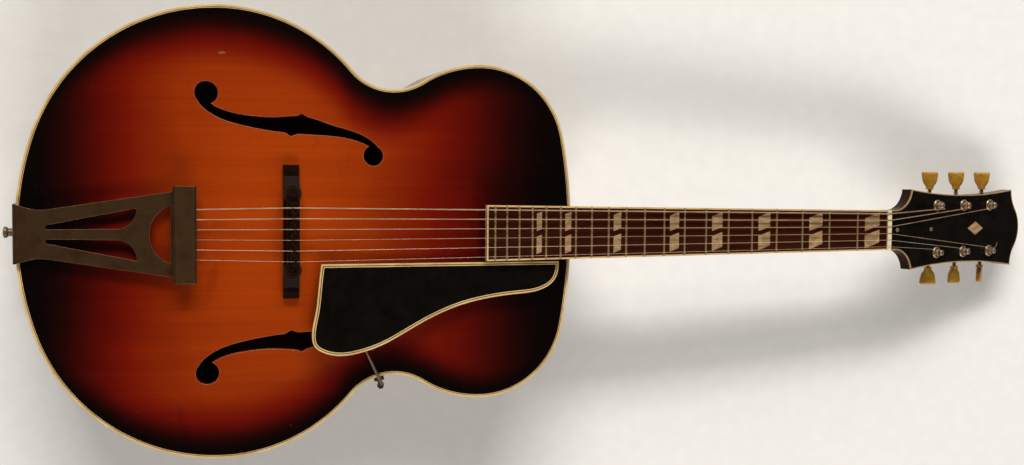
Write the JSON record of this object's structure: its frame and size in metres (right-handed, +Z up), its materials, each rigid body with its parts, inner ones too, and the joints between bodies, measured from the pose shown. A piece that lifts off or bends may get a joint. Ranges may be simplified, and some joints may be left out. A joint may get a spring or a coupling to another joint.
{
  "type": "archtop guitar",
  "caption": "Hollow-body archtop acoustic guitar with carved plates, f-shaped sound holes, height-adjustable bridge, trapeze tailpiece, raised pickguard and geared tuners.",
  "frame": {"origin": "under the middle of the guitar's box, on the plane that its arched back rests on", "axes": "+X along the strings from tailpiece to headstock, +Y to the bass side, +Z up out of the top plate"},
  "size_m": [1.1128, 0.4318, 0.1437],
  "materials": {
    "spruce_sunburst": "carved spruce, amber to dark brown sunburst under gloss lacquer",
    "maple_dark": "maple, dark red-brown gloss lacquer",
    "inside_wood": "bare spruce and mahogany inside the box",
    "cream_binding": "aged cream celluloid with a thin dark line",
    "rosewood": "oiled rosewood",
    "bone": "polished bone",
    "pearl": "pearl celluloid",
    "black_lacquer": "black gloss lacquer",
    "black_celluloid": "black celluloid sheet",
    "nickel": "aged nickel plate with fine scratches",
    "fret_wire": "worn nickel silver",
    "plain_steel": "drawn steel wire",
    "bronze_wire": "bronze wound on steel",
    "brass": "aged brass",
    "rod_steel": "plain steel",
    "amber_button": "amber-coloured tulip button, slightly milky"
  },
  "bodies": {
    "guitar": {"top_plate": "spruce_sunburst", "back_plate": "maple_dark", "bass_side": "maple_dark", "treble_side": "maple_dark", "neck_block": "inside_wood", "tail_block": "inside_wood", "linings": "inside_wood", "tone_bars": "inside_wood", "top_binding": "cream_binding", "back_binding": "cream_binding", "neck": "maple_dark", "heel_cap": "cream_binding", "truss_rod": "rod_steel", "truss_rod_cover": "black_celluloid", "wood_screws": "nickel", "fretboard": "rosewood", "frets": "fret_wire", "pearl_inlays": "pearl", "fretboard_binding": "cream_binding", "nut": "bone", "headstock_veneer": "black_lacquer", "headstock_binding": "cream_binding", "bridge_base": "rosewood", "bridge_posts": "brass", "tailpiece": "nickel", "tailpiece_bar": "nickel", "endpin": "nickel", "pickguard": "black_celluloid", "pickguard_binding": "cream_binding", "pickguard_bracket": "nickel", "bracket_nut": "nickel", "tuner_housings": "nickel", "tuner_bushings": "nickel", "string_1": "plain_steel", "string_2": "plain_steel", "string_3": "bronze_wire", "string_4": "bronze_wire", "string_5": "bronze_wire", "string_6": "bronze_wire"},
    "saddle": {"bridge_saddle": "rosewood"},
    "wheel_bass": {"thumbwheel_bass": "brass"},
    "wheel_treble": {"thumbwheel_treble": "brass"},
    "post_1": {"string_post_1": "nickel"},
    "key_1": {"worm_shaft_1": "nickel", "tuner_button_1": "amber_button"},
    "post_2": {"string_post_2": "nickel"},
    "key_2": {"worm_shaft_2": "nickel", "tuner_button_2": "amber_button"},
    "post_3": {"string_post_3": "nickel"},
    "key_3": {"worm_shaft_3": "nickel", "tuner_button_3": "amber_button"},
    "post_4": {"string_post_4": "nickel"},
    "key_4": {"worm_shaft_4": "nickel", "tuner_button_4": "amber_button"},
    "post_5": {"string_post_5": "nickel"},
    "key_5": {"worm_shaft_5": "nickel", "tuner_button_5": "amber_button"},
    "post_6": {"string_post_6": "nickel"},
    "key_6": {"worm_shaft_6": "nickel", "tuner_button_6": "amber_button"}
  },
  "joints": [
    {"name": "post_1_spin", "type": "hinge", "parent": "guitar", "child": "post_1", "pos_m": [0.42467, -0.026, 0.0718], "axis": [0.303, 0, 0.953], "continuous": true},
    {"name": "key_1_spin", "type": "hinge", "parent": "guitar", "child": "key_1", "pos_m": [0.42681, -0.026, 0.05149], "axis": [0, 1, 0], "continuous": true},
    {"name": "post_2_spin", "type": "hinge", "parent": "guitar", "child": "post_2", "pos_m": [0.46612, -0.026, 0.05862], "axis": [0.303, 0, 0.953], "continuous": true},
    {"name": "key_2_spin", "type": "hinge", "parent": "guitar", "child": "key_2", "pos_m": [0.46827, -0.026, 0.03831], "axis": [0, 1, 0], "continuous": true},
    {"name": "post_3_spin", "type": "hinge", "parent": "guitar", "child": "post_3", "pos_m": [0.50757, -0.026, 0.04543], "axis": [0.303, 0, 0.953], "continuous": true},
    {"name": "key_3_spin", "type": "hinge", "parent": "guitar", "child": "key_3", "pos_m": [0.50972, -0.026, 0.02513], "axis": [0, 1, 0], "continuous": true},
    {"name": "post_4_spin", "type": "hinge", "parent": "guitar", "child": "post_4", "pos_m": [0.50757, 0.026, 0.04543], "axis": [0.303, 0, 0.953], "continuous": true},
    {"name": "key_4_spin", "type": "hinge", "parent": "guitar", "child": "key_4", "pos_m": [0.50972, 0.026, 0.02513], "axis": [0, 1, 0], "continuous": true},
    {"name": "post_5_spin", "type": "hinge", "parent": "guitar", "child": "post_5", "pos_m": [0.46612, 0.026, 0.05862], "axis": [0.303, 0, 0.953], "continuous": true},
    {"name": "key_5_spin", "type": "hinge", "parent": "guitar", "child": "key_5", "pos_m": [0.46827, 0.026, 0.03831], "axis": [0, 1, 0], "continuous": true},
    {"name": "post_6_spin", "type": "hinge", "parent": "guitar", "child": "post_6", "pos_m": [0.42467, 0.026, 0.0718], "axis": [0.303, 0, 0.953], "continuous": true},
    {"name": "key_6_spin", "type": "hinge", "parent": "guitar", "child": "key_6", "pos_m": [0.42681, 0.026, 0.05149], "axis": [0, 1, 0], "continuous": true},
    {"name": "saddle_lift", "type": "slide", "parent": "guitar", "child": "saddle", "axis": [0, 0, 1], "range_m": [-0.002, 0.002], "deforming": ["string_1", "string_2", "string_3", "string_4", "string_5", "string_6"]},
    {"name": "thumbwheel_bass_spin", "type": "hinge", "parent": "saddle", "child": "wheel_bass", "pos_m": [-0.29227, 0.038, 0.1303], "axis": [0, 0, 1], "range_deg": [-1029, 1029]},
    {"name": "thumbwheel_treble_spin", "type": "hinge", "parent": "saddle", "child": "wheel_treble", "pos_m": [-0.29227, -0.034, 0.1303], "axis": [0, 0, 1], "range_deg": [-1029, 1029]}
  ],
  "couplings": [
    {"joint": "key_1_spin", "follows": "post_1_spin", "ratio": -14},
    {"joint": "key_2_spin", "follows": "post_2_spin", "ratio": -14},
    {"joint": "key_3_spin", "follows": "post_3_spin", "ratio": -14},
    {"joint": "key_4_spin", "follows": "post_4_spin", "ratio": -14},
    {"joint": "key_5_spin", "follows": "post_5_spin", "ratio": -14},
    {"joint": "key_6_spin", "follows": "post_6_spin", "ratio": -14},
    {"joint": "thumbwheel_bass_spin", "follows": "saddle_lift", "rad_per_m": 8976},
    {"joint": "thumbwheel_treble_spin", "follows": "saddle_lift", "rad_per_m": 8976}
  ]
}
